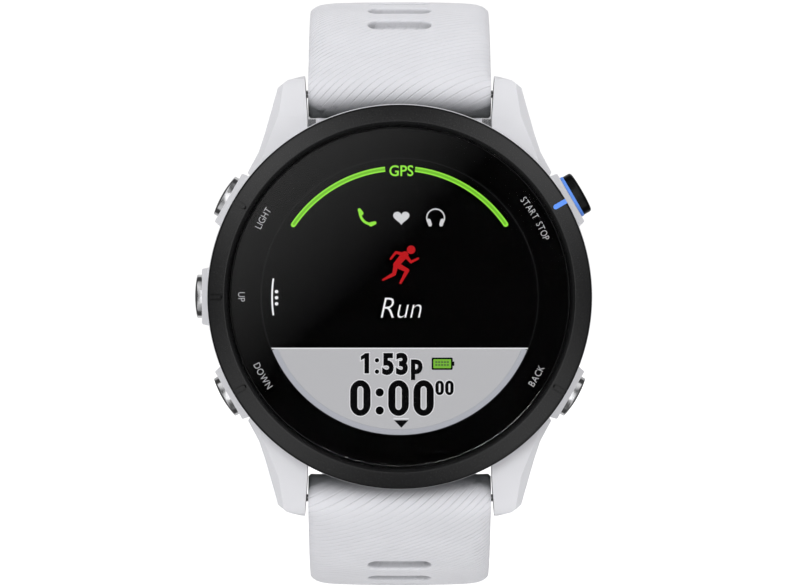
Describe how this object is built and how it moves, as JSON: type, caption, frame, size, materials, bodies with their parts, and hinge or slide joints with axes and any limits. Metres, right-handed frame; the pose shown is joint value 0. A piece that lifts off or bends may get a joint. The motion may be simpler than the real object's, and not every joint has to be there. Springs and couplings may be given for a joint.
{
  "type": "running watch",
  "caption": "Round running watch with five side buttons, a glass display, four lugs and a two-piece silicone strap with buckle and keepers.",
  "frame": {"origin": "centre of the rear sensor window's outer face, where the watch touches the wrist", "axes": "+Z towards 12 o'clock, +X towards 3 o'clock, +Y out of the back towards the wrist, display facing -Y"},
  "size_m": [0.0474, 0.1118, 0.0722],
  "materials": {
    "case_white": "satin white moulded polymer",
    "cover_white": "matte white moulded polymer",
    "bezel": "fine-grained dark grey moulded ring",
    "accent_blue": "satin blue",
    "lens_glass": "clear polished glass",
    "black_trim": "black print",
    "seal": "moulded rubber",
    "display": "dark reflective display with a bright picture",
    "inner_white": "matte white",
    "inner_black": "matte black",
    "antenna": "gold-plated sheet",
    "board": "green solder mask",
    "shield": "tinned sheet",
    "battery": "foil pouch",
    "ribbon": "amber film",
    "led": "clear green lamp",
    "sensor_glass": "polished black window",
    "steel": "machined steel",
    "button_silver": "polished silver",
    "start_black": "polished black metal",
    "buckle_steel": "brushed steel with polished edges",
    "strap": "satin white silicone with fine engraved lines"
  },
  "bodies": {
    "case": {"case_body": "case_white", "bezel_ring": "bezel", "bezel_start_mark": "accent_blue", "lens": "lens_glass", "lens_mask": "black_trim", "lens_gasket": "seal", "display_panel": "display", "backlight_frame": "inner_white", "antenna_ring": "antenna", "main_board": "board", "shield_cans": "shield", "battery": "battery", "battery_tray": "inner_black", "vibration_motor": "shield", "piezo_buzzer": "antenna", "button_switches": "inner_black", "sensor_ribbon": "ribbon", "sensor_board": "board", "sensor_leds": "led", "sensor_window": "sensor_glass", "rear_cover": "cover_white", "rear_gasket": "seal", "rear_screws": "steel", "charge_port": "inner_black", "charge_contacts": "antenna", "pressure_vent": "inner_white", "button_seals": "seal"},
    "light_button": {"light_button": "button_silver", "light_spring": "steel", "light_clip": "steel"},
    "up_button": {"up_button": "button_silver", "up_spring": "steel", "up_clip": "steel"},
    "down_button": {"down_button": "button_silver", "down_spring": "steel", "down_clip": "steel"},
    "start_button": {"start_button": "start_black", "start_spring": "steel", "start_clip": "steel", "start_accent_ring": "accent_blue"},
    "back_button": {"back_button": "button_silver", "back_spring": "steel", "back_clip": "steel"},
    "upper_strap": {"upper_strap": "strap", "upper_bar_tube": "steel", "upper_bar_spring": "steel", "keeper_fixed": "strap"},
    "upper_lever": {"upper_bar_lever": "steel"},
    "lower_strap": {"lower_strap": "strap", "lower_bar_tube": "steel", "lower_bar_spring": "steel"},
    "lower_lever": {"lower_bar_lever": "steel"},
    "buckle": {"buckle_frame": "buckle_steel", "buckle_bar": "steel"},
    "tongue": {"buckle_tongue": "buckle_steel"},
    "free_keeper": {"keeper_free": "strap"}
  },
  "joints": [
    {"name": "light_press", "type": "slide", "parent": "case", "child": "light_button", "axis": [0.866, 0, -0.5], "range_m": [0, 0.0006], "stiffness_N_per_m": 1500, "springref_m": -0.0006, "deforming": ["light_spring"]},
    {"name": "up_press", "type": "slide", "parent": "case", "child": "up_button", "axis": [1, 0, 0], "range_m": [0, 0.0006], "stiffness_N_per_m": 1500, "springref_m": -0.0006, "deforming": ["up_spring"]},
    {"name": "down_press", "type": "slide", "parent": "case", "child": "down_button", "axis": [0.866, 0, 0.5], "range_m": [0, 0.0006], "stiffness_N_per_m": 1500, "springref_m": -0.0006, "deforming": ["down_spring"]},
    {"name": "start_press", "type": "slide", "parent": "case", "child": "start_button", "axis": [-0.866, 0, -0.5], "range_m": [0, 0.0006], "stiffness_N_per_m": 1500, "springref_m": -0.0006, "deforming": ["start_spring"]},
    {"name": "back_press", "type": "slide", "parent": "case", "child": "back_button", "axis": [-0.866, 0, 0.5], "range_m": [0, 0.0006], "stiffness_N_per_m": 1500, "springref_m": -0.0006, "deforming": ["back_spring"]},
    {"name": "upper_strap_hinge", "type": "hinge", "parent": "case", "child": "upper_strap", "pos_m": [0, -0.0056, 0.0242], "axis": [1, 0, 0], "range_deg": [-8, 50]},
    {"name": "lower_strap_hinge", "type": "hinge", "parent": "case", "child": "lower_strap", "pos_m": [0, -0.0056, -0.0242], "axis": [-1, 0, 0], "range_deg": [-8, 50]},
    {"name": "upper_lever_slide", "type": "slide", "parent": "upper_strap", "child": "upper_lever", "axis": [-1, 0, 0], "range_m": [0, 0.0014], "stiffness_N_per_m": 400, "springref_m": -0.001, "deforming": ["upper_bar_spring"]},
    {"name": "lower_lever_slide", "type": "slide", "parent": "lower_strap", "child": "lower_lever", "axis": [-1, 0, 0], "range_m": [0, 0.0014], "stiffness_N_per_m": 400, "springref_m": -0.001, "deforming": ["lower_bar_spring"]},
    {"name": "buckle_hinge", "type": "hinge", "parent": "upper_strap", "child": "buckle", "pos_m": [0, 0.06242, 0.02098], "axis": [1, 0, 0], "range_deg": [-30, 25]},
    {"name": "tongue_hinge", "type": "hinge", "parent": "buckle", "child": "tongue", "pos_m": [0, 0.06242, 0.02098], "axis": [1, 0, 0], "range_deg": [0, 64]},
    {"name": "keeper_slide", "type": "slide", "parent": "upper_strap", "child": "free_keeper", "axis": [0, 0.9511, -0.309], "range_m": [-0.008, 0.004]}
  ]
}
